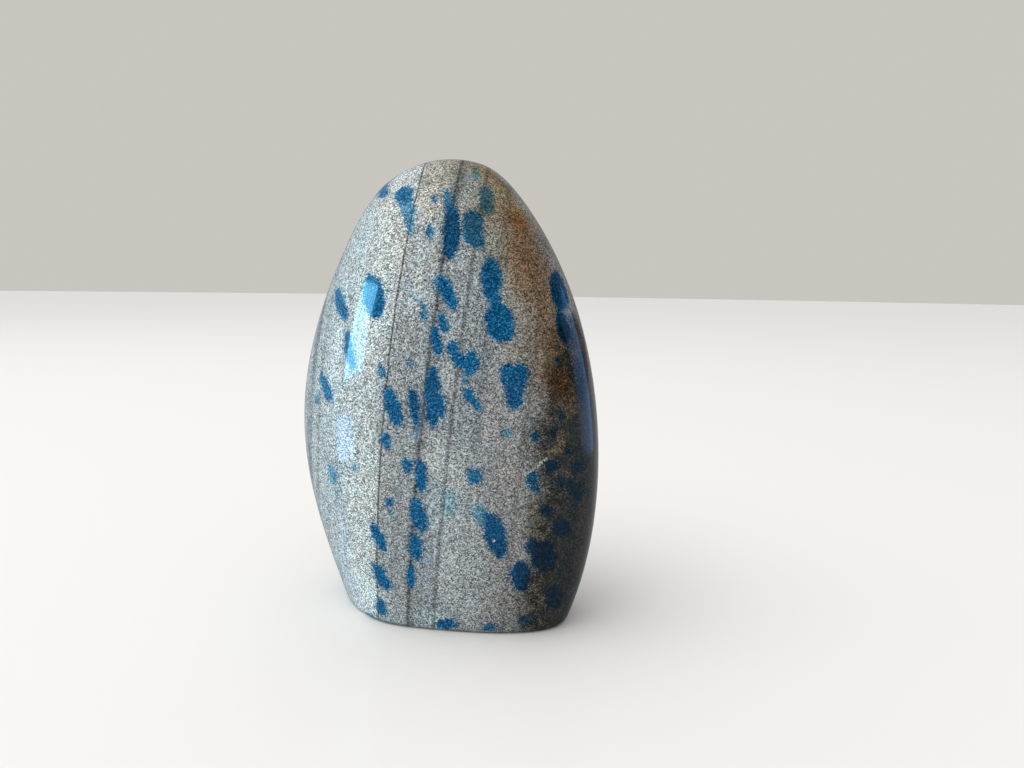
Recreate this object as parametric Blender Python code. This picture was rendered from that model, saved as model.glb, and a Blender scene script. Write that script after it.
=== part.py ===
"""A polished egg-like piece of granite with azurite spots, ground to stand on its flat base.

The stone is one piece. Its broad face looks along -Y, and its shape is given by how far the surface
reaches from an upright axis to the left (-X), right (+X), front (-Y) and back (+Y) at a few heights.
Between those four sides each level section is a polygon with soft corners, as hand grinding leaves it.
The azurite is only colour, so nothing is raised for it. Metres, +Z up, with the origin on the
surface that the stone stands on, under the middle of the stone.
"""

import math

import bmesh
import bpy
import numpy as np
from mathutils import Vector

MM = 0.001

# Driving dimensions
HEIGHT = 101 * MM
BASE_EDGE_RADIUS = 1.2 * MM

# How far the surface reaches from the axis, at these heights above the base
LEVELS = np.array([101, 94, 78, 56, 30, 12, 0]) * MM
REACH = {
    "left": np.array([0, 17.5, 27.2, 34.7, 35.2, 30.3, 25.9]) * MM,
    "right": np.array([0, 14.4, 24.5, 31.6, 33.6, 31.3, 27.6]) * MM,
    "front": np.array([0, 13, 20.5, 23.5, 22.5, 20.5, 18]) * MM,
    "back": np.array([0, 12.5, 19.5, 22, 20, 17, 15]) * MM,
}

# The ground faces round the stone: the way each one looks, in degrees from +X towards +Y, and its
# distance from the axis as a share of the stone's reach that way
FACES = [(2, 1.0), (40, 1.0), (90, 1.0), (140, 1.0), (180, 1.0), (216, 0.97), (268, 1.0), (308, 1.18)]
CORNER_SHARPNESS = 9
# The faces fade into a round dome over this much of the way down from the top
FACES_START = 0.45

# Mesh resolution, and the shares of the way from the middle of the top to the middle of the base
# where the side ends and where the rounded base edge ends
SEGMENTS = 88
RINGS = 46
SIDE_END = 0.83
EDGE_END = 0.90

GRANITE_COLOUR = (0.34, 0.35, 0.34, 1.0)
POLISHED_ROUGHNESS = 0.22


def depth_share(height):
    """0 at the top and 1 at the base, growing with the root of the depth so that the top is a round dome."""
    return np.sqrt(1 - height / HEIGHT)


def edge_curves():
    """One smooth curve for each side through its reaches, by depth share."""
    depths = depth_share(LEVELS)
    return {side: np.polyfit(depths, reaches, len(LEVELS) - 1) for side, reaches in REACH.items()}


def smooth_step(value):
    value = min(max(value, 0.0), 1.0)
    return value * value * (3 - 2 * value)


def section_radius(curves, depth, angle):
    """Distance from the axis to the surface at this depth share, the way that angle looks."""
    across, along = math.cos(angle), math.sin(angle)
    side = np.polyval(curves["right" if across > 0 else "left"], depth)
    face = np.polyval(curves["back" if along > 0 else "front"], depth)
    x, y = across / side, along / face
    ellipse = 1 / math.hypot(x, y)
    nearness = 0.0
    for direction, share in FACES:
        direction = math.radians(direction)
        facing = (x * math.cos(direction) + y * math.sin(direction)) / share
        nearness += max(facing, 0.0) ** CORNER_SHARPNESS
    polygon = nearness ** (-1 / CORNER_SHARPNESS)
    return ellipse + (polygon - ellipse) * smooth_step(depth / FACES_START)


def stone_point(curves, way_down, angle):
    """The surface point that far from the middle of the top (0) to the middle of the base (1)."""
    if way_down <= SIDE_END:
        height = BASE_EDGE_RADIUS + (HEIGHT - BASE_EDGE_RADIUS) * (1 - (way_down / SIDE_END) ** 2)
        inset = 0.0
    else:
        turn = math.radians(90) * min((way_down - SIDE_END) / (EDGE_END - SIDE_END), 1.0)
        height = BASE_EDGE_RADIUS * (1 - math.sin(turn))
        inset = BASE_EDGE_RADIUS * (1 - math.cos(turn))
    if way_down <= 0:
        return Vector((0, 0, HEIGHT))
    radius = section_radius(curves, float(depth_share(height)), angle) - inset
    if way_down > EDGE_END:
        radius *= (1 - way_down) / (1 - EDGE_END)
    return Vector((radius * math.cos(angle), radius * math.sin(angle), height))


def shape_stone(mesh_data):
    """Moves each vertex of a unit sphere to its place on the stone."""
    curves = edge_curves()
    for vertex in mesh_data.verts:
        upright = max(-1.0, min(1.0, vertex.co.z))
        angle = math.atan2(vertex.co.y, vertex.co.x)
        vertex.co = stone_point(curves, math.acos(upright) / math.pi, angle)


def centre_on_origin(mesh_data):
    """Puts the middle of the stone's outline over the origin and the base at height zero."""
    places = np.array([vertex.co for vertex in mesh_data.verts])
    middle = (places.min(axis=0) + places.max(axis=0)) / 2
    shift = Vector((-middle[0], -middle[1], -places[:, 2].min()))
    bmesh.ops.translate(mesh_data, verts=mesh_data.verts, vec=shift)


def granite():
    material = bpy.data.materials.new("azurite_granite")
    material.use_nodes = True
    shader = material.node_tree.nodes["Principled BSDF"]
    shader.inputs["Base Color"].default_value = GRANITE_COLOUR
    shader.inputs["Roughness"].default_value = POLISHED_ROUGHNESS
    shader.inputs["Metallic"].default_value = 0.0
    return material


def polished_stone(collection):
    mesh_data = bmesh.new()
    bmesh.ops.create_uvsphere(mesh_data, u_segments=SEGMENTS, v_segments=RINGS, radius=1)
    shape_stone(mesh_data)
    centre_on_origin(mesh_data)
    bmesh.ops.recalc_face_normals(mesh_data, faces=mesh_data.faces)
    mesh = bpy.data.meshes.new("polished_stone")
    mesh_data.to_mesh(mesh)
    mesh_data.free()
    mesh.shade_smooth()
    mesh.materials.append(granite())
    stone = bpy.data.objects.new("polished_stone", mesh)
    collection.objects.link(stone)
    return stone


def main():
    for old in list(bpy.data.objects):
        bpy.data.objects.remove(old)
    collection = bpy.data.collections.new("azurite_in_granite")
    bpy.context.scene.collection.children.link(collection)
    polished_stone(collection)


main()
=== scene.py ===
"""Looks of a polished piece of granite with azurite spots: fine surface, stone, camera, lights and floor.

Everything is in metres, +Z up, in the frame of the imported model. Sizes of markings are in millimetres
of stone, or in pixels of the 1024 by 768 photograph where a name says so.
"""

import math

import bmesh
import bpy
import numpy as np
from mathutils import Matrix, Vector, noise
from mathutils.bvhtree import BVHTree


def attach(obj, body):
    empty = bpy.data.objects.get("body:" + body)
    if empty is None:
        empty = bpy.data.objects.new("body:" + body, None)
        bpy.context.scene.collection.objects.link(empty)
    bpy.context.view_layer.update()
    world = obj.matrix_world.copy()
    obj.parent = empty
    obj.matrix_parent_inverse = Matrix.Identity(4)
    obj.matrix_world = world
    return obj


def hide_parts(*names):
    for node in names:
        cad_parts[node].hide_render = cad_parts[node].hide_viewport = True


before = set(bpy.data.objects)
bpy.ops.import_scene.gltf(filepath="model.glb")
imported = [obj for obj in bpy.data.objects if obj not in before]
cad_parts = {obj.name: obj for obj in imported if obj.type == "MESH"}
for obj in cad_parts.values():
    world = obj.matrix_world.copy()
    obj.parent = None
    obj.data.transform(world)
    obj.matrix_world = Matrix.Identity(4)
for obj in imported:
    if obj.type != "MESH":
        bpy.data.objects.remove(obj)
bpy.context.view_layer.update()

MM = 0.001

# The camera, as the photograph's lines and the stone's outline give it
PHOTO_SIZE = (1024, 768)
FOCAL_PIXELS = 765
SENSOR_WIDTH_MM = 36
EYE = Vector((38.66, -169.87, 73.6)) * MM
HEADING_DEGREES = -8.10
PITCH_DOWN_DEGREES = 7.24
ROLL_DEGREES = 0.81

# The form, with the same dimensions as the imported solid
HEIGHT = 101 * MM
BASE_EDGE_RADIUS = 1.2 * MM
LEVELS = np.array([101, 94, 78, 56, 30, 12, 0]) * MM
REACH = {
    "left": np.array([0, 17.5, 27.2, 34.7, 35.2, 30.3, 25.9]) * MM,
    "right": np.array([0, 14.4, 24.5, 31.6, 33.6, 31.3, 27.6]) * MM,
    "front": np.array([0, 13, 20.5, 23.5, 22.5, 20.5, 18]) * MM,
    "back": np.array([0, 12.5, 19.5, 22, 20, 17, 15]) * MM,
}
FACES = [(2, 1.0), (40, 1.0), (90, 1.0), (140, 1.0), (180, 1.0), (216, 0.97), (268, 1.0), (308, 1.18)]
CORNER_SHARPNESS = 9
FACES_START = 0.45
SIDE_END = 0.83
EDGE_END = 0.90
CELLS_ACROSS = 126

# Azurite spots as the photograph shows them: middle x and y, width, height, all in its pixels, the
# tilt of the top towards the right in degrees, and how full the blue is: 1 is full, and more is deeper
SPOTS = [
    (383, 189, 8, 16, 25, 0.9), (404, 196, 18, 20, 0, 0.84), (407, 207, 13, 24, -8, 0.62),
    (409, 219, 8, 28, -8, 0.6), (434, 199, 5, 8, 0, 0.85), (429, 232, 6, 13, 0, 0.8),
    (449, 203, 9, 30, -10, 0.7), (452, 229, 18, 42, 0, 1.3), (450, 246, 14, 26, 0, 1.25),
    (473, 227, 22, 36, 0, 0.8), (478, 240, 12, 18, 0, 0.85), (487, 197, 13, 20, 0, 0.6),
    (487, 206, 13, 20, 0, 0.6),
    (476, 173, 8, 10, 0, 0.2),
    (447, 292, 14, 36, -25, 1.0), (437, 283, 5, 14, -15, 0.6), (424, 312, 6, 17, 0, 0.7),
    (417, 300, 4, 8, -30, 0.35), (443, 322, 9, 18, -20, 0.9), (437, 342, 10, 30, -10, 1.0),
    (453, 348, 12, 12, 0, 0.95), (459, 359, 13, 18, -35, 0.95), (471, 363, 16, 25, 5, 1.0),
    (465, 377, 6, 12, 0, 0.5), (472, 399, 9, 26, -35, 0.95), (491, 278, 20, 42, 0, 1.15),
    (494, 300, 11, 14, 0, 0.8), (500, 323, 28, 40, -15, 1.1), (509, 375, 17, 24, 0, 1.1),
    (521, 374, 15, 22, 0, 1.1), (514, 388, 20, 42, 0, 1.15),
    (340, 303, 9, 32, -15, 0.85), (373, 296, 21, 45, -8, 1.0), (349, 349, 7, 38, -8, 0.8),
    (326, 388, 8, 30, -20, 0.82), (317, 400, 4, 8, 0, 0.6), (382, 372, 7, 13, -15, 0.7),
    (410, 363, 4, 6, 0, 0.7), (393, 407, 14, 40, -18, 1.0), (414, 407, 11, 35, -5, 1.2),
    (417, 428, 3, 14, 0, 0.5), (433, 397, 16, 60, 0, 1.15), (440, 406, 11, 24, 0, 1.0),
    (386, 441, 8, 17, -15, 0.85), (407, 465, 9, 16, -20, 0.95), (421, 476, 11, 32, -5, 1.0),
    (389, 503, 8, 9, 35, 1.1), (392, 514, 4, 5, 0, 0.4), (418, 515, 14, 36, -15, 1.0),
    (423, 523, 8, 12, 0, 0.9), (416, 547, 13, 27, -8, 1.0), (411, 576, 9, 22, -5, 0.95),
    (378, 537, 9, 32, -25, 1.0), (382, 578, 12, 28, -30, 0.9), (375, 569, 4, 12, -30, 0.8),
    (381, 607, 9, 17, -20, 0.88), (332, 474, 6, 18, -10, 0.5), (354, 467, 4, 5, 0, 0.6),
    (475, 476, 15, 16, -30, 0.76), (507, 433, 8, 10, 0, 0.35), (448, 503, 13, 26, 0, 0.12),
    (481, 516, 11, 22, -15, 0.4), (495, 534, 21, 44, -18, 1.25), (500, 547, 15, 20, 0, 1.3),
    (521, 577, 19, 30, 0, 1.5), (515, 572, 10, 12, 0, 1.1), (446, 624, 22, 10, 0, 1.0),
    (490, 628, 12, 6, 0, 1.0), (526, 621, 14, 11, 0, 0.6), (535, 436, 8, 10, 0, 0.8),
    (553, 434, 7, 9, 0, 0.9), (561, 415, 7, 9, 0, 0.9), (569, 452, 7, 8, 0, 0.9),
    (552, 466, 15, 15, 30, 1.0), (532, 479, 11, 18, 0, 0.9), (537, 489, 8, 8, 0, 0.8),
    (579, 467, 11, 12, 0, 0.7), (562, 482, 12, 11, 0, 0.7), (577, 490, 15, 19, 0, 0.7),
    (547, 510, 12, 11, 0, 0.9), (562, 528, 18, 18, 0, 0.8), (544, 556, 25, 30, 0, 1.1),
    (532, 546, 12, 14, 0, 0.8), (555, 598, 18, 23, 0, 0.8), (560, 290, 15, 42, -12, 1.45),
    (563, 326, 12, 34, -15, 1.3), (557, 364, 6, 10, 0, 0.5),
]
SPOT_DEPTH = 0.8  # of the spot's larger half

# Three seams of the rock run from the top to the base. Their pixels in the photograph, and how many
# millimetres each lies from the first one
SEAMS = [
    (0.0, [(421, 178), (414, 205), (407.7, 234.5), (397.7, 294), (388.6, 359), (383.3, 425), (378.5, 501),
           (377.3, 587)]),
    (8.5, [(457, 182), (452, 205), (446, 247), (439.4, 286), (433, 351), (423, 410), (415, 465),
           (411, 540), (410, 600)]),
    (15.5, [(466, 300), (460, 360), (453, 410), (446, 465), (441.7, 508), (438.4, 547), (436, 589)]),
]
# The layers of the rock that the seams follow turn this much as they go back through it
LAYER_TURN = 0.18

# Stains and colour changes, each along a line of photograph pixels: how far the colour reaches from
# the line in mm, what it multiplies the stone's colour by, and whether it dulls the azurite too
# Besides the real stains, one entry is a painted glow: the foot lighter and bluer as if lit from the floor
STAINS_AND_GLOW = {
    "pale_top": ([(422, 205), (418, 255), (412, 300)], 7.0, (1.44, 1.45, 1.47), False),
    "pale_low": ([(448, 450), (455, 510), (462, 600)], 9.0, (1.26, 1.30, 1.30), False),
    "pale_side": ([(337, 345), (334, 375), (333, 398)], 5.0, (1.32, 1.30, 1.32), False),
    "pale_shin": ([(339, 520), (346, 565), (360, 600)], 5.5, (1.24, 1.24, 1.24), False),
    "dull_top": ([(490, 180), (496, 215), (510, 245)], 12.0, (0.80, 0.74, 0.64), True),
    "dull_spot": ([(487, 192), (487, 210)], 3.5, (0.80, 0.66, 0.55), True),
    "dull_pair": ([(470, 217), (476, 238)], 4.0, (0.98, 0.74, 0.62), True),
    "warm_cap": ([(395, 195), (408, 225), (402, 255)], 13.0, (0.93, 0.88, 0.84), False),
    "brown_cap": ([(458, 163), (482, 168), (506, 186)], 7.0, (0.90, 0.78, 0.64), False),
    "dark_rim": ([(497, 178), (509, 190)], 2.5, (0.60, 0.64, 0.66), False),
    "cream": ([(440, 164), (437, 185), (432, 205)], 5.0, (1.20, 1.07, 0.90), False),
    "smudge": ([(462, 172), (457, 190), (446, 222), (441, 258)], 2.2, (0.72, 0.70, 0.70), True),
    "shade_middle": ([(480, 262), (479, 340), (476, 385), (458, 432)], 5.0, (0.80, 0.83, 0.87), False),
    "streak_left": ([(381, 385), (377, 440)], 2.6, (0.78, 0.82, 0.84), False),
    # Painted light: the lower foot lighter and bluer, as if lit from the floor
    "painted_glow_foot": ([(378, 596), (400, 614), (432, 620)], 4.5, (1.22, 1.30, 1.34), False),
    "gold": ([(478, 166), (492, 178), (506, 195), (518, 214)], 5.0, (0.92, 0.75, 0.50), True),
    "rust": ([(520, 222), (528, 245), (535, 265), (545, 300), (552, 340), (557, 385)], 7.0, (0.74, 0.52, 0.36), True),
    "rust_low": ([(515, 225), (520, 262), (524, 292)], 5.0, (0.94, 0.80, 0.66), False),
    "rust_edge": ([(535, 225), (549, 256), (558, 285)], 6.0, (0.86, 0.80, 0.82), False),
    "warm_middle": ([(500, 215), (508, 260), (524, 320), (534, 380)], 8.0, (0.90, 0.83, 0.73), False),
    "slate_left": ([(336, 470), (341, 515), (348, 570), (362, 606)], 3.0, (0.74, 0.79, 0.88), False),
    "slate_edge": ([(324, 308), (314, 360), (309, 400), (308, 440), (312, 475)], 2.0, (0.55, 0.60, 0.66), False),
    "slate_low": ([(432, 480), (430, 540), (427, 600)], 3.0, (0.82, 0.87, 0.93), False),
}

# The pale vein in the dark zone, and the zone's patches of brown and tan grains: how far each reaches
# from its line in mm, and what it multiplies the tan grains' colour by
PALE_VEIN = [(524, 476), (531, 470), (541, 463), (549, 457)]
PATCHES = {
    "brown_patch": ([(561, 380), (564, 394), (568, 408)], 3.2, (0.66, 0.54, 0.42)),
    "tan_patch": ([(550, 456), (558, 449), (562, 438)], 1.5, (0.86, 0.76, 0.60)),
    "tan_fringe": ([(558, 470), (566, 478)], 1.6, (0.70, 0.68, 0.60)),
}

# The edge of the dark zone at the lower right, which is partly dark minerals and partly painted shade on the side
# turned from the light
DARK_EDGE = [(561, 330), (555, 362), (549, 392), (541, 413), (535, 435), (539, 480), (536, 505), (530, 548), (528, 570),
             (522, 594), (517, 616)]
DARK_WANDER_MM = 13.0

# Small chips and flecks: photograph pixel, half width in mm, and colour
DOTS = {
    "chip": ((328.5, 537), 0.45, (0.02, 0.02, 0.02)),
    "fleck": ((493.5, 540.5), 0.40, (0.55, 0.60, 0.62)),
    "small_fleck": ((534, 584), 0.28, (0.55, 0.58, 0.58)),
}

# What the rock's layers multiply its colour by: millimetres from the first seam and red, green, blue
# Left of the first seam they are lighter and bluer, partly as paler layers and partly as painted bluish light from the
# left; towards the right they grow darker
LAYER_TINTS_AND_PAINTED_LIGHT = [(-35, (0.95, 1.00, 1.05)), (-16, (1.05, 1.14, 1.20)), (-11, (1.13, 1.25, 1.32)), (-8, (1.25, 1.35, 1.41)),
               (-6, (1.41, 1.51, 1.55)), (-2, (1.43, 1.53, 1.57)), (-0.5, (1.24, 1.31, 1.35)), (0.5, (0.96, 1.02, 1.06)),
               (7, (0.92, 0.98, 1.03)), (9, (0.88, 0.94, 0.98)), (11, (0.98, 1.05, 1.10)), (15, (0.98, 1.05, 1.10)),
               (18, (0.90, 0.96, 1.00)), (23, (0.86, 0.90, 0.94)), (27, (0.82, 0.84, 0.87)), (35, (0.78, 0.79, 0.80))]

# The sides that the photograph doesn't show get spots of the same kinds
UNSEEN_SPOTS = 70
UNSEEN_SEED = 11


def photo_axes():
    """The camera's forward, right and up."""
    heading, pitch, roll = (math.radians(a) for a in (HEADING_DEGREES, PITCH_DOWN_DEGREES, ROLL_DEGREES))
    forward = Vector((math.sin(heading) * math.cos(pitch), math.cos(heading) * math.cos(pitch), -math.sin(pitch)))
    level_right = Vector((math.cos(heading), -math.sin(heading), 0))
    level_up = level_right.cross(forward)
    right = math.cos(roll) * level_right + math.sin(roll) * level_up
    up = math.cos(roll) * level_up - math.sin(roll) * level_right
    return forward, right, up


def photo_ray(x, y):
    """The way the camera looks through that pixel of the photograph."""
    forward, right, up = photo_axes()
    across = (x - PHOTO_SIZE[0] / 2) / FOCAL_PIXELS
    above = (PHOTO_SIZE[1] / 2 - y) / FOCAL_PIXELS
    return (forward + across * right + above * up).normalized()


def add_camera():
    forward, right, up = photo_axes()
    camera = bpy.data.objects.new("camera", bpy.data.cameras.new("camera"))
    camera.data.sensor_width = SENSOR_WIDTH_MM
    camera.data.lens = SENSOR_WIDTH_MM * FOCAL_PIXELS / PHOTO_SIZE[0]
    camera.data.clip_start = 0.01
    turn = Matrix((right, up, -forward)).transposed()
    camera.matrix_world = Matrix.Translation(EYE) @ turn.to_4x4()
    bpy.context.scene.collection.objects.link(camera)
    bpy.context.scene.camera = camera


def smooth_step(value):
    value = np.clip(value, 0, 1)
    return value * value * (3 - 2 * value)


def section_radius(depth, angle):
    """Distance from the axis to the surface, by depth share (0 top, 1 base) and angle."""
    depths = np.sqrt(1 - LEVELS / HEIGHT)
    reach = {side: np.polyval(np.polyfit(depths, far, len(LEVELS) - 1), depth) for side, far in REACH.items()}
    across, along = np.cos(angle), np.sin(angle)
    x = across / np.where(across > 0, reach["right"], reach["left"])
    y = along / np.where(along > 0, reach["back"], reach["front"])
    nearness = np.zeros_like(x)
    for direction, share in FACES:
        direction = math.radians(direction)
        facing = (x * math.cos(direction) + y * math.sin(direction)) / share
        nearness += np.maximum(facing, 0) ** CORNER_SHARPNESS
    ellipse = 1 / np.hypot(x, y)
    polygon = nearness ** (-1 / CORNER_SHARPNESS)
    return ellipse + (polygon - ellipse) * smooth_step(depth / FACES_START)


def stone_points(directions):
    """The surface point for each direction of a unit sphere."""
    way_down = np.arccos(np.clip(directions[:, 2], -1, 1)) / math.pi
    way_down = np.maximum(way_down, 1e-5)
    angle = np.arctan2(directions[:, 1], directions[:, 0])
    side_height = BASE_EDGE_RADIUS + (HEIGHT - BASE_EDGE_RADIUS) * (1 - (way_down / SIDE_END) ** 2)
    turn = math.radians(90) * np.clip((way_down - SIDE_END) / (EDGE_END - SIDE_END), 0, 1)
    height = np.where(way_down <= SIDE_END, side_height, BASE_EDGE_RADIUS * (1 - np.sin(turn)))
    radius = section_radius(np.sqrt(1 - height / HEIGHT), angle) - BASE_EDGE_RADIUS * (1 - np.cos(turn))
    radius *= np.clip((1 - way_down) / (1 - EDGE_END), 0, 1)
    return np.column_stack((radius * np.cos(angle), radius * np.sin(angle), height))


def fine_stone():
    """The stone's surface as an even net of small quads, wrapped from a cube."""
    net = bmesh.new()
    bmesh.ops.create_cube(net, size=2)
    bmesh.ops.subdivide_edges(net, edges=net.edges[:], cuts=CELLS_ACROSS - 1, use_grid_fill=True)
    mesh = bpy.data.meshes.new("stone")
    net.to_mesh(mesh)
    net.free()
    places = np.empty(len(mesh.vertices) * 3)
    mesh.vertices.foreach_get("co", places)
    directions = np.tan(places.reshape(-1, 3) * math.pi / 4)
    directions /= np.linalg.norm(directions, axis=1, keepdims=True)
    points = stone_points(directions)
    middle = (points.min(axis=0) + points.max(axis=0)) / 2
    points[:, :2] -= middle[:2]
    mesh.vertices.foreach_set("co", points.ravel())
    mesh.shade_smooth()
    mesh.update()
    stone = bpy.data.objects.new("stone", mesh)
    bpy.context.scene.collection.objects.link(stone)
    return stone


class Marks:
    """Places the stone's markings on its surface and works out how far each vertex is from them."""

    def __init__(self, stone):
        mesh = stone.data
        self.mesh = mesh
        self.points = np.empty(len(mesh.vertices) * 3)
        mesh.vertices.foreach_get("co", self.points)
        self.points = self.points.reshape(-1, 3) / MM
        self.normals = np.empty(len(mesh.vertices) * 3)
        mesh.vertices.foreach_get("normal", self.normals)
        self.normals = self.normals.reshape(-1, 3)
        corners = [vertex.co for vertex in mesh.vertices]
        self.tree = BVHTree.FromPolygons(corners, [face.vertices for face in mesh.polygons])

    def photo_hit(self, x, y):
        """(point, normal) of the surface, in millimetres, under that pixel of the photograph."""
        place, normal, _, _ = self.tree.ray_cast(EYE, photo_ray(x, y))
        if place is None:
            raise ValueError(f"pixel {x}, {y} of the photograph misses the stone")
        return np.array(place) / MM, np.array(normal)

    def photo_points(self, pixels):
        return np.array([self.photo_hit(x, y)[0] for x, y in pixels])

    def photo_steps(self, place, normal, x, y):
        """How far the surface's tangent plane runs for one pixel to the right and one pixel up."""
        eye = np.array(EYE) / MM
        steps = []
        for ray in (photo_ray(x + 1, y), photo_ray(x, y - 1)):
            ray = np.array(ray)
            steps.append(eye + ray * ((place - eye) @ normal) / (ray @ normal) - place)
        return steps

    def write(self, name, values):
        layer = self.mesh.attributes.new(name, "FLOAT", "POINT")
        layer.data.foreach_set("value", np.asarray(values, np.float32))


def spot_depth(points, place, axes):
    """Depth in millimetres inside an ellipsoid with these three half-axis vectors, negative outside."""
    inverse = np.linalg.inv(np.column_stack(axes))
    local = (points - place) @ inverse.T
    share = np.linalg.norm(local, axis=1)
    slope = np.linalg.norm(local @ inverse, axis=1)
    reach = min(np.linalg.norm(axis) for axis in axes)
    depth = (1 - share) * share / np.maximum(slope, 1e-9)
    return np.where(share < 0.2, 0.8 * reach, np.clip(depth, -50, 0.8 * reach))


def photo_spots(marks):
    """(place, half-axes, fullness) of each spot that the photograph shows."""
    for x, y, width, height, tilt, fullness in SPOTS:
        place, normal = marks.photo_hit(x, y)
        right, up = marks.photo_steps(place, normal, x, y)
        tilt = math.radians(tilt)
        along = (math.sin(tilt) * right + math.cos(tilt) * up) * height / 2
        across = (math.cos(tilt) * right - math.sin(tilt) * up) * width / 2
        inward = normal * SPOT_DEPTH * max(width, height) / 2 * np.linalg.norm(up)
        yield place, (across, along, inward), fullness


def unseen_spots(marks):
    """Spots of the same kinds on the sides that face away from the camera."""
    chance = np.random.default_rng(UNSEEN_SEED)
    eye = np.array(EYE) / MM
    to_eye = eye - marks.points
    facing = (marks.normals * to_eye).sum(axis=1) / np.linalg.norm(to_eye, axis=1)
    hidden = np.flatnonzero(facing < -0.02)
    taken = []
    while len(taken) < UNSEEN_SPOTS:
        vertex = chance.choice(hidden)
        place, normal = marks.points[vertex], marks.normals[vertex]
        width = chance.lognormal(math.log(1.3), 0.45)
        height = width * chance.uniform(1.1, 2.4)
        if any(np.linalg.norm(place - other) < height + far for other, far in taken):
            continue
        taken.append((place, height))
        side = np.cross((0, 0, 1), normal) + 1e-6
        side /= np.linalg.norm(side)
        upward = np.cross(normal, side)
        tilt = math.radians(chance.normal(8, 9))
        along = (math.cos(tilt) * upward + math.sin(tilt) * side) * height
        across = (math.cos(tilt) * side - math.sin(tilt) * upward) * width
        yield place, (across, along, normal * SPOT_DEPTH * height), chance.uniform(0.5, 1.0)


def mark_azurite(marks):
    """azurite_depth: millimetres into the nearest spot. azurite_fullness: how full that spot's blue is."""
    deepest = np.full(len(marks.points), -50.0)
    weights = np.full(len(marks.points), 1e-9)
    fullness = np.full(len(marks.points), 1e-9)
    for place, axes, full in (*photo_spots(marks), *unseen_spots(marks)):
        depth = spot_depth(marks.points, place, axes)
        deepest = np.maximum(deepest, depth)
        weight = np.exp(np.clip(depth, -6, 1) * 3)
        weights += weight
        fullness += weight * full
    marks.write("azurite_depth", deepest)
    marks.write("azurite_fullness", fullness / weights)


def mark_layers(marks):
    """layer: millimetres across the rock's layers from the first seam. They run right through the stone."""
    height = marks.points[:, 2]
    seams = []
    for number, pixels in SEAMS:
        line = marks.photo_points(pixels)
        bend = np.polyfit(line[:, 2], line[:, 0], 2)
        front = np.polyfit(line[:, 2], line[:, 1], 2)
        seam = np.polyval(bend, height) - LAYER_TURN * (marks.points[:, 1] - np.polyval(front, height))
        seams.append((number, marks.points[:, 0] - seam))
    (_, from_first), (second, from_second), (third, from_third) = seams
    between_first = second * from_first / (from_first - from_second)
    between_second = second + (third - second) * from_second / (from_second - from_third)
    layer = np.where(from_first < 0, from_first, between_first)
    layer = np.where(from_second > 0, between_second, layer)
    marks.write("layer", np.where(from_third > 0, third + from_third, layer))


def distance_to_line(points, line):
    """Each point's distance to a line of straight pieces."""
    best = np.full(len(points), 1e9)
    for start, end in zip(line[:-1], line[1:]):
        way = end - start
        share = np.clip((points - start) @ way / max(way @ way, 1e-9), 0, 1)
        best = np.minimum(best, np.linalg.norm(points - start - share[:, None] * way, axis=1))
    return best


def mark_lines(marks):
    """One layer for each stain or painted glow, patch and dot and for the pale vein: millimetres from its line."""
    lines = {name: stain[0] for name, stain in STAINS_AND_GLOW.items()}
    lines["pale_vein"] = PALE_VEIN
    lines |= {name: patch[0] for name, patch in PATCHES.items()}
    lines |= {name: [dot[0], dot[0]] for name, dot in DOTS.items()}
    for name, pixels in lines.items():
        marks.write(name, distance_to_line(marks.points, marks.photo_points(pixels)))


def mark_dark_zone(marks):
    """dark_side: millimetres past the edge of the dark zone, which takes the stone's lower right end. The zone is
    partly dark minerals and partly painted shade on the side turned from the light.

    Behind the edge that the photograph shows, the zone's border wanders and draws in towards the back.
    """
    edge = marks.photo_points(DARK_EDGE)
    edge = edge[np.argsort(edge[:, 2])]
    height = marks.points[:, 2]
    past = marks.points[:, 0] - np.interp(height, edge[:, 2], edge[:, 0])
    back = np.maximum(marks.points[:, 1] - edge[:, 1].mean(), 0)
    above = np.maximum(height - edge[-1, 2], 0)
    wander = np.array([noise.noise(point / DARK_WANDER_MM) for point in marks.points])
    marks.write("dark_side", past - 0.2 * back - 0.9 * above + wander * np.minimum(back, 14))


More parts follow.
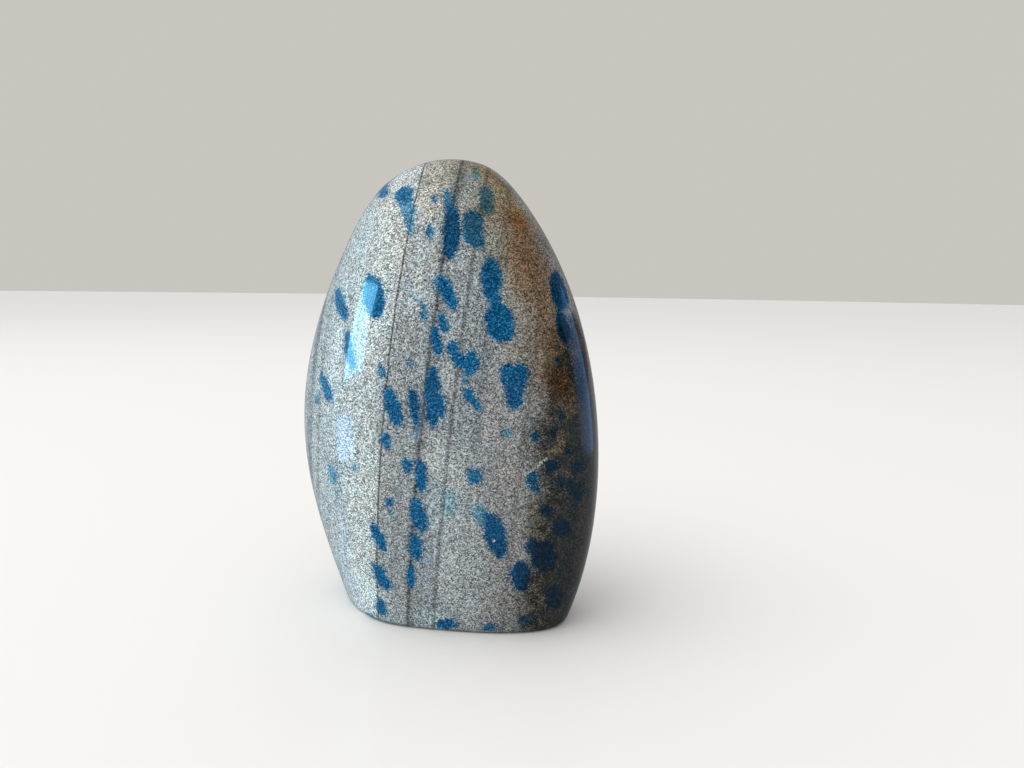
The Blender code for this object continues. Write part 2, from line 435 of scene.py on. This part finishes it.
class Nodes:
    """Short calls for building a shader."""

    def __init__(self, material):
        material.use_nodes = True
        self.tree = material.node_tree
        self.shader = self.tree.nodes["Principled BSDF"]

    def put(self, socket, value):
        if isinstance(value, bpy.types.NodeSocket):
            self.tree.links.new(value, socket)
        else:
            socket.default_value = value

    def math(self, operation, first, second=0.0, clamp=False):
        node = self.tree.nodes.new("ShaderNodeMath")
        node.operation = operation
        node.use_clamp = clamp
        self.put(node.inputs[0], first)
        self.put(node.inputs[1], second)
        return node.outputs[0]

    def mix(self, share, first, second, blend="MIX"):
        node = self.tree.nodes.new("ShaderNodeMix")
        node.data_type = "RGBA"
        node.blend_type = blend
        self.put(node.inputs["Factor"], share)
        self.put(node.inputs["A"], first)
        self.put(node.inputs["B"], second)
        return node.outputs["Result"]

    def attribute(self, name):
        node = self.tree.nodes.new("ShaderNodeAttribute")
        node.attribute_name = name
        return node.outputs["Fac"]

    def steps(self, value, low, high, smooth=True):
        """0 below low, 1 above high and a soft step between."""
        node = self.tree.nodes.new("ShaderNodeMapRange")
        node.interpolation_type = "SMOOTHSTEP" if smooth else "LINEAR"
        self.put(node.inputs["Value"], value)
        node.inputs["From Min"].default_value = low
        node.inputs["From Max"].default_value = high
        return node.outputs["Result"]

    def ramp(self, value, stops, interpolation="LINEAR"):
        node = self.tree.nodes.new("ShaderNodeValToRGB")
        node.color_ramp.interpolation = interpolation
        elements = node.color_ramp.elements
        while len(elements) < len(stops):
            elements.new(1.0)
        for element, (position, colour) in zip(elements, stops):
            element.position = position
            element.color = (*colour, 1.0)
        self.put(node.inputs["Fac"], value)
        return node.outputs["Color"]

    def millimetres(self):
        """The surface point in millimetres of stone."""
        place = self.tree.nodes.new("ShaderNodeTexCoord").outputs["Object"]
        node = self.tree.nodes.new("ShaderNodeVectorMath")
        node.operation = "SCALE"
        self.put(node.inputs[0], place)
        node.inputs["Scale"].default_value = 1 / MM
        return node.outputs[0]

    def noise(self, place, size, detail=2.0, roughness=0.5):
        """Soft noise with features of that size in millimetres, around 0.5."""
        node = self.tree.nodes.new("ShaderNodeTexNoise")
        self.put(node.inputs["Vector"], place)
        node.inputs["Scale"].default_value = 1 / size
        node.inputs["Detail"].default_value = detail
        node.inputs["Roughness"].default_value = roughness
        return node.outputs["Fac"]

    def grains(self, place, size):
        """Two chance values for each crystal grain of about that size in millimetres."""
        node = self.tree.nodes.new("ShaderNodeTexVoronoi")
        self.put(node.inputs["Vector"], place)
        node.inputs["Scale"].default_value = 1 / size
        split = self.tree.nodes.new("ShaderNodeSeparateColor")
        self.put(split.inputs[0], node.outputs["Color"])
        return split.outputs[0], split.outputs[1]

    def vector(self, x, y, z):
        node = self.tree.nodes.new("ShaderNodeCombineXYZ")
        for socket, value in zip(node.inputs, (x, y, z)):
            self.put(socket, value)
        return node.outputs[0]

    def height_of(self, place):
        node = self.tree.nodes.new("ShaderNodeSeparateXYZ")
        self.put(node.inputs[0], place)
        return node.outputs["Z"]


GRAIN_MM = 0.23
GRAIN_STOPS = [(0.0, (0.018, 0.018, 0.019)), (0.2, (0.08, 0.08, 0.08)), (0.5, (0.25, 0.252, 0.25)),
               (0.75, (0.445, 0.448, 0.44)), (1.0, (0.84, 0.84, 0.82))]
# Colours of the dark zone at the lower right: partly dark minerals, partly painted shade
DARK_GRAIN_STOPS = [(0.0, (0.004, 0.005, 0.006)), (0.4, (0.016, 0.018, 0.019)), (0.65, (0.045, 0.046, 0.043)),
                    (0.85, (0.12, 0.117, 0.10)), (1.0, (0.40, 0.375, 0.31))]
TAN_GRAIN_STOPS = [(0.0, (0.010, 0.010, 0.010)), (0.3, (0.035, 0.034, 0.031)), (0.6, (0.105, 0.10, 0.088)),
                   (1.0, (0.34, 0.32, 0.28))]
DEEP_COLOUR = (0.042, 0.039, 0.033, 1)
DEEP_BLUE = (0.010, 0.024, 0.032, 1)
LIGHTEST = (0.90, 0.93, 0.95, 1)
AZURITE_STOPS = [(0.0, (0.0, 0.010, 0.040)), (0.35, (0.0, 0.048, 0.125)), (0.6, (0.0, 0.090, 0.212)),
                 (0.8, (0.02, 0.17, 0.35)), (1.0, (0.18, 0.40, 0.60))]
WARM_GRAIN_TINT = (1.04, 1.0, 0.95, 1)
COOL_GRAIN_TINT = (0.96, 1.0, 1.04, 1)
WARM_PATCH_TINT = (1.03, 0.99, 0.97, 1)
COOL_PATCH_TINT = (0.97, 1.01, 1.02, 1)
PALE_BLUE_TINT = (0.55, 0.92, 1.03, 1)
SEAM_TINT = (0.26, 0.25, 0.25, 1)
DEEP_AZURITE_TINT = (0.35, 0.50, 0.55, 1)
# Painted shade: what the azurite in the dark zone is multiplied by, as if it lay in shadow
AZURITE_PAINTED_SHADE_TINT = (0.20, 0.17, 0.16, 1)
TAN_TINT = (1.10, 1.00, 0.84, 1)
PALE_VEIN_STOPS = [(0.0, (0.10, 0.115, 0.095)), (0.5, (0.28, 0.31, 0.25)), (1.0, (0.80, 0.82, 0.72))]

# Lines along the layers: where they lie across the layers in mm, their half width and their strength
LAYER_LINES = [(0.0, 0.24, 0.95), (8.5, 0.42, 0.75), (8.9, 1.5, 0.35), (15.5, 0.6, 0.6),
               (5.0, 0.5, 0.15), (11.6, 0.6, 0.15), (-15.5, 0.5, 0.35), (-18.0, 0.6, 0.45), (-10.0, 0.6, 0.12),
               (21.0, 1.0, 0.2), (-27.0, 1.0, 0.25), (30.5, 0.8, 0.3)]


def stone_material():
    """Salt-and-pepper granite with azurite spots, seams, stains and a darker end, with painted light: a bluish cast on
    the left, a glow at the foot, and shade over the darker end and its azurite.
    """
    material = bpy.data.materials.new("azurite_granite")
    nodes = Nodes(material)
    place = nodes.millimetres()
    chance, hue_chance = nodes.grains(place, GRAIN_MM)
    fine = nodes.noise(place, 0.35, detail=2)
    grain = nodes.math("ADD", nodes.math("MULTIPLY", chance, 0.72), nodes.math("MULTIPLY", fine, 0.28))
    cloud = nodes.noise(place, 9.0, detail=3)
    dark = dark_share(nodes, place, cloud)
    colour = nodes.mix(dark, nodes.ramp(grain, GRAIN_STOPS), dark_colours(nodes, place, grain))
    colour = tinted(nodes, 1.0, colour, nodes.mix(hue_chance, WARM_GRAIN_TINT, COOL_GRAIN_TINT))
    patch = nodes.steps(nodes.noise(place, 5.0), 0.35, 0.65)
    colour = tinted(nodes, 1.0, colour, nodes.mix(patch, WARM_PATCH_TINT, COOL_PATCH_TINT))
    colour = layer_colours(nodes, place, colour, cloud)
    colour = patched_colours(nodes, place, colour, grain)
    colour = stain_and_glow_colours(nodes, colour, cloud, over_azurite=False)
    colour = azurite_colours(nodes, place, colour, grain, dark)
    colour = stain_and_glow_colours(nodes, colour, cloud, over_azurite=True)
    colour = fine_marks(nodes, place, colour, grain)
    nodes.put(nodes.shader.inputs["Base Color"], nodes.mix(1.0, colour, LIGHTEST, "DARKEN"))
    polish(nodes, place, grain)
    return material


def dark_share(nodes, place, cloud):
    """1 in the dark zone at the lower right, with a ragged edge. The zone is partly dark minerals and partly painted
    shade.
    """
    spread = nodes.math("MULTIPLY", nodes.math("SUBTRACT", cloud, 0.5), 5.0)
    ragged = nodes.math("MULTIPLY", nodes.math("SUBTRACT", nodes.noise(place, 1.6, detail=3), 0.5), 4.0)
    past = nodes.math("ADD", nodes.attribute("dark_side"), nodes.math("ADD", spread, ragged))
    return nodes.steps(past, -3.6, 2.0)


def dark_colours(nodes, place, grain):
    """Dark grains: mottled with tan near the zone's edge, and smoother and cooler further in. Their darkness is partly
    the minerals' own and partly painted shade.
    """
    past = nodes.attribute("dark_side")
    deep = nodes.math("SUBTRACT", nodes.steps(past, 1.5, 7.0), nodes.math("MULTIPLY", nodes.steps(past, 12, 17), 0.5))
    mottled = nodes.steps(nodes.noise(place, 2.6, detail=3), 0.46, 0.62)
    mottled = nodes.math("MULTIPLY", mottled, nodes.math("SUBTRACT", 1.0, nodes.math("MULTIPLY", deep, 0.8)))
    tan = tinted(nodes, 1.0, nodes.ramp(grain, TAN_GRAIN_STOPS), TAN_TINT)
    near = nodes.mix(mottled, nodes.ramp(grain, DARK_GRAIN_STOPS), tan)
    patches = nodes.steps(nodes.noise(place, 4.0, detail=3), 0.42, 0.58)
    smooth = nodes.mix(patches, DEEP_COLOUR, DEEP_BLUE)
    return nodes.mix(deep, near, nodes.mix(0.5, nodes.ramp(grain, DARK_GRAIN_STOPS), smooth))


def patched_colours(nodes, place, colour, grain):
    """Ragged patches of brown and tan grains."""
    ragged = nodes.math("MULTIPLY", nodes.math("SUBTRACT", nodes.noise(place, 1.5, detail=3), 0.5), 3.5)
    for name, (_, reach, tint) in PATCHES.items():
        away = nodes.math("ADD", nodes.attribute(name), ragged)
        grains = tinted(nodes, 1.0, nodes.ramp(grain, TAN_GRAIN_STOPS), (*tint, 1))
        colour = nodes.mix(nodes.steps(away, reach, reach * 0.4), colour, grains)
    return colour


def tinted(nodes, share, colour, tint):
    """The colour multiplied by the tint, by that share."""
    return nodes.mix(share, colour, tint, "MULTIPLY")


def layer_colours(nodes, place, colour, cloud):
    """Soft streaks and darker seams along the rock's layers, and tints across the layers that are partly painted light.
    """
    wobble = nodes.math("MULTIPLY", nodes.math("SUBTRACT", nodes.noise(place, 4.0), 0.5), 0.5)
    layer = nodes.math("ADD", nodes.attribute("layer"), wobble)
    height = nodes.height_of(place)
    streak_place = nodes.vector(nodes.math("MULTIPLY", layer, 0.55), nodes.math("MULTIPLY", height, 0.02), 0.0)
    streaks = nodes.noise(streak_place, 1.0, detail=2)
    shade = nodes.ramp(nodes.math("ADD", nodes.math("MULTIPLY", streaks, 0.6), nodes.math("MULTIPLY", cloud, 0.4)),
                       [(0.3, (0.80, 0.84, 0.87)), (0.5, (1.0, 1.0, 0.99)), (0.68, (1.12, 1.11, 1.08))])
    colour = tinted(nodes, 1.0, colour, shade)
    # Painted light: left of the first seam the tints are lighter and bluer, partly paler layers and partly the bluish
    # light from the left; towards the right they are darker
    low, high = LAYER_TINTS_AND_PAINTED_LIGHT[0][0], LAYER_TINTS_AND_PAINTED_LIGHT[-1][0]
    across = nodes.steps(layer, low, high, smooth=False)
    colour = tinted(nodes, 1.0, colour, nodes.ramp(across, [((at - low) / (high - low), tint) for at, tint in LAYER_TINTS_AND_PAINTED_LIGHT]))
    broken = nodes.steps(nodes.noise(place, 1.3, detail=2), 0.25, 0.5)
    broken = nodes.math("ADD", nodes.math("MULTIPLY", broken, 0.35), 0.65)
    for middle, half_width, strength in LAYER_LINES:
        away = nodes.math("ABSOLUTE", nodes.math("SUBTRACT", layer, middle))
        line = nodes.steps(away, half_width * 1.4, half_width * 0.3)
        line = nodes.math("MULTIPLY", line, nodes.math("MULTIPLY", broken, strength))
        colour = tinted(nodes, line, colour, SEAM_TINT)
    return colour


def azurite_colours(nodes, place, colour, grain, dark):
    """Blue inside the azurite, with grainy edges that wander a little, a faint blue rim and painted shade in the dark
    zone.
    """
    wander = nodes.math("MULTIPLY", nodes.math("SUBTRACT", nodes.noise(place, 2.0, detail=2), 0.5), 1.3)
    speckle = nodes.math("MULTIPLY", nodes.math("SUBTRACT", nodes.grains(place, 0.2)[0], 0.5), 1.0)
    depth = nodes.math("ADD", nodes.attribute("azurite_depth"), nodes.math("ADD", wander, speckle))
    fullness = nodes.attribute("azurite_fullness")
    rim = nodes.math("MULTIPLY", nodes.steps(depth, -0.9, 0.0), 0.4)
    colour = tinted(nodes, rim, colour, PALE_BLUE_TINT)
    pale = tinted(nodes, 1.0, colour, PALE_BLUE_TINT)
    full = tinted(nodes, nodes.steps(fullness, 1.0, 1.4), nodes.ramp(grain, AZURITE_STOPS), DEEP_AZURITE_TINT)
    # Painted shade: the azurite in the dark zone is darkened as if in shadow
    full = tinted(nodes, dark, full, AZURITE_PAINTED_SHADE_TINT)
    blue = nodes.mix(nodes.steps(fullness, 0.1, 0.95), pale, full)
    inside = nodes.math("MULTIPLY", nodes.steps(depth, -0.45, 0.2), nodes.steps(fullness, 0.0, 0.25))
    return nodes.mix(inside, colour, blue)


# Stains, and the painted glow at the foot, each within its reach of its line
def stain_and_glow_colours(nodes, colour, cloud, over_azurite):
    patchy = nodes.math("ADD", nodes.math("MULTIPLY", nodes.steps(cloud, 0.3, 0.6), 0.4), 0.6)
    for name, (_, reach, tint, over) in STAINS_AND_GLOW.items():
        if over == over_azurite:
            share = nodes.math("MULTIPLY", nodes.steps(nodes.attribute(name), reach, 0.0), patchy)
            colour = tinted(nodes, share, colour, (*tint, 1))
    return colour


def fine_marks(nodes, place, colour, grain):
    """The pale vein in the dark zone, and the chips and flecks."""
    wander = nodes.math("MULTIPLY", nodes.noise(place, 0.9), 1.4)
    away = nodes.math("ADD", nodes.attribute("pale_vein"), wander)
    colour = nodes.mix(nodes.steps(away, 1.15, 0.75), colour, nodes.ramp(grain, PALE_VEIN_STOPS))
    for name, (_, half_width, tone) in DOTS.items():
        colour = nodes.mix(nodes.steps(nodes.attribute(name), half_width * 1.3, half_width * 0.7), colour, (*tone, 1))
    return colour


def polish(nodes, place, grain):
    """A high polish, a little duller on the darker grains, and a ground finish underneath."""
    polished = nodes.math("SUBTRACT", 0.11, nodes.math("MULTIPLY", grain, 0.04))
    above_base = nodes.steps(nodes.height_of(place), 0.1, 0.6)
    rough = nodes.math("SUBTRACT", 0.55, nodes.math("MULTIPLY", above_base, nodes.math("SUBTRACT", 0.55, polished)))
    nodes.put(nodes.shader.inputs["Roughness"], rough)
    nodes.shader.inputs["IOR"].default_value = 1.32
    bump = nodes.tree.nodes.new("ShaderNodeBump")
    bump.inputs["Strength"].default_value = 0.04
    bump.inputs["Distance"].default_value = 0.05 * MM
    nodes.put(bump.inputs["Height"], grain)
    nodes.put(nodes.shader.inputs["Normal"], bump.outputs["Normal"])


FLOOR_COLOUR = (0.81, 0.80, 0.782, 1)
FLOOR_SHEEN = 0.035
MIRRORED_FLOOR_COLOUR = (0.32, 0.32, 0.33, 1)  # as the stone's polish shows it
SURROUND_COLOUR = (0.58, 0.555, 0.52, 1)
# The surround's brightness on average, the side that is brighter, and how much it is: once for the light
# that falls on things, and once for what shows in their polish
SURROUND_LIGHT = (0.70, (-0.42, -0.15, 0.90), 0.78)
SURROUND_REFLECTION = (0.20, (-0.75, 0.20, 0.63), 0.24)


def add_floor():
    mesh = bpy.data.meshes.new("floor")
    disc = bmesh.new()
    bmesh.ops.create_circle(disc, cap_ends=True, segments=96, radius=6.0)
    disc.to_mesh(mesh)
    disc.free()
    floor = bpy.data.objects.new("floor", mesh)
    material = bpy.data.materials.new("floor")
    nodes = Nodes(material)
    mirrored = nodes.tree.nodes.new("ShaderNodeLightPath").outputs["Is Glossy Ray"]
    nodes.put(nodes.shader.inputs["Base Color"], nodes.mix(mirrored, FLOOR_COLOUR, MIRRORED_FLOOR_COLOUR))
    nodes.shader.inputs["Roughness"].default_value = 0.9
    nodes.shader.inputs["Specular IOR Level"].default_value = 0.0
    sheen = nodes.tree.nodes.new("ShaderNodeBsdfGlossy")
    sheen.inputs["Roughness"].default_value = 0.15
    both = nodes.tree.nodes.new("ShaderNodeMixShader")
    both.inputs[0].default_value = FLOOR_SHEEN
    nodes.put(both.inputs[1], nodes.shader.outputs[0])
    nodes.put(both.inputs[2], sheen.outputs[0])
    nodes.put(nodes.tree.nodes["Material Output"].inputs["Surface"], both.outputs[0])
    mesh.materials.append(material)
    bpy.context.scene.collection.objects.link(floor)


def add_surround():
    """A plain pale surround whose light is brighter from one side."""
    world = bpy.data.worlds.new("surround")
    bpy.context.scene.world = world
    world.use_nodes = True
    tree = world.node_tree
    rays = tree.nodes.new("ShaderNodeLightPath")
    way = tree.nodes.new("ShaderNodeTexCoord").outputs["Generated"]

    def background(average, bright_side, change):
        towards = tree.nodes.new("ShaderNodeVectorMath")
        towards.operation = "DOT_PRODUCT"
        tree.links.new(way, towards.inputs[0])
        towards.inputs[1].default_value = bright_side
        strength = tree.nodes.new("ShaderNodeMath")
        strength.operation = "MULTIPLY_ADD"
        tree.links.new(towards.outputs["Value"], strength.inputs[0])
        strength.inputs[1].default_value = change
        strength.inputs[2].default_value = average
        node = tree.nodes.new("ShaderNodeBackground")
        tree.links.new(strength.outputs[0], node.inputs["Strength"])
        return node.outputs[0]

    def choose(ray, others, those):
        node = tree.nodes.new("ShaderNodeMixShader")
        tree.links.new(rays.outputs[ray], node.inputs[0])
        tree.links.new(others, node.inputs[1])
        tree.links.new(those, node.inputs[2])
        return node.outputs[0]

    seen = tree.nodes["Background"]
    seen.inputs["Color"].default_value = SURROUND_COLOUR
    lit = choose("Is Glossy Ray", background(*SURROUND_LIGHT), background(*SURROUND_REFLECTION))
    tree.links.new(choose("Is Camera Ray", lit, seen.outputs[0]), tree.nodes["World Output"].inputs["Surface"])


# Soft lights: the way each stands from the stone in degrees (0 is the camera's side, + is right), its
# height angle, its distance, width and height in metres, and its brightness and colour
SOFT_LIGHTS = {
    "high_light": (-55, 60, 1.4, 1.3, 1.1, 1.7, (1.0, 0.97, 0.93)),
    "side_light": (-78, 10, 1.0, 0.6, 0.4, 10.3, (0.56, 0.88, 1.0)),
}

# Panels that only show as reflections in the stone's polish: the photograph's pixel where the panel's
# middle shows, its distance, width and height in metres, the lean of its top to the right in degrees,
# and its brightness and colour
PANELS = {
    "tall_panel": ((361, 324), 0.60, 0.28, 0.285, 2, 24, (0.22, 0.68, 1.0)),
    "low_panel": ((345, 437), 0.11, 0.050, 0.024, 0, 12, (0.22, 0.52, 1.0)),
    "blue_panel": ((581, 379), 0.20, 0.18, 0.165, 0, 1.5, (0.15, 0.44, 1.0)),
}


def area_light(name, place, facing, width, height, lean, brightness, colour):
    light = bpy.data.lights.new(name, "AREA")
    light.shape = "RECTANGLE"
    light.size = width
    light.size_y = height
    light.energy = brightness * math.pi * width * height
    light.color = colour
    lamp = bpy.data.objects.new(name, light)
    turn = facing.to_track_quat("-Z", "Y").to_matrix() @ Matrix.Rotation(math.radians(lean), 3, "Z")
    lamp.matrix_world = Matrix.Translation(place) @ turn.to_4x4()
    bpy.context.scene.collection.objects.link(lamp)
    return lamp


def add_soft_lights(lit):
    """The high light falls on everything, and the bluer side light on the stone alone."""
    for name, (way, rise, distance, width, height, brightness, colour) in SOFT_LIGHTS.items():
        way, rise = math.radians(way), math.radians(rise)
        out = Vector((math.sin(way) * math.cos(rise), -math.cos(way) * math.cos(rise), math.sin(rise)))
        place = Vector((0, 0, HEIGHT / 2)) + distance * out
        lamp = area_light(name, place, -out, width, height, 0, brightness, colour)
        lamp.visible_glossy = False
        if name == "side_light":
            lamp.light_linking.receiver_collection = lit


def add_panels(marks, lit):
    """Each panel stands where the stone's surface mirrors it into the camera at its pixel."""
    for name, (pixel, distance, width, height, lean, brightness, colour) in PANELS.items():
        point, normal = marks.photo_hit(*pixel)
        out = photo_ray(*pixel).reflect(Vector(normal))
        place = Vector(point) * MM + distance * out
        lamp = area_light(name, place, -out, width, height, lean, brightness, colour)
        lamp.light_linking.receiver_collection = lit
        lamp.visible_camera = False
        lamp.visible_diffuse = False


def build():
    add_camera()
    stone = fine_stone()
    marks = Marks(stone)
    mark_azurite(marks)
    mark_layers(marks)
    mark_lines(marks)
    mark_dark_zone(marks)
    stone.data.materials.append(stone_material())
    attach(stone, "root")
    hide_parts("polished_stone")
    add_floor()
    add_surround()
    lit = bpy.data.collections.new("lit_alone")
    lit.objects.link(stone)
    add_soft_lights(lit)
    add_panels(marks, lit)
    bpy.context.scene.view_settings.view_transform = "Standard"


build()
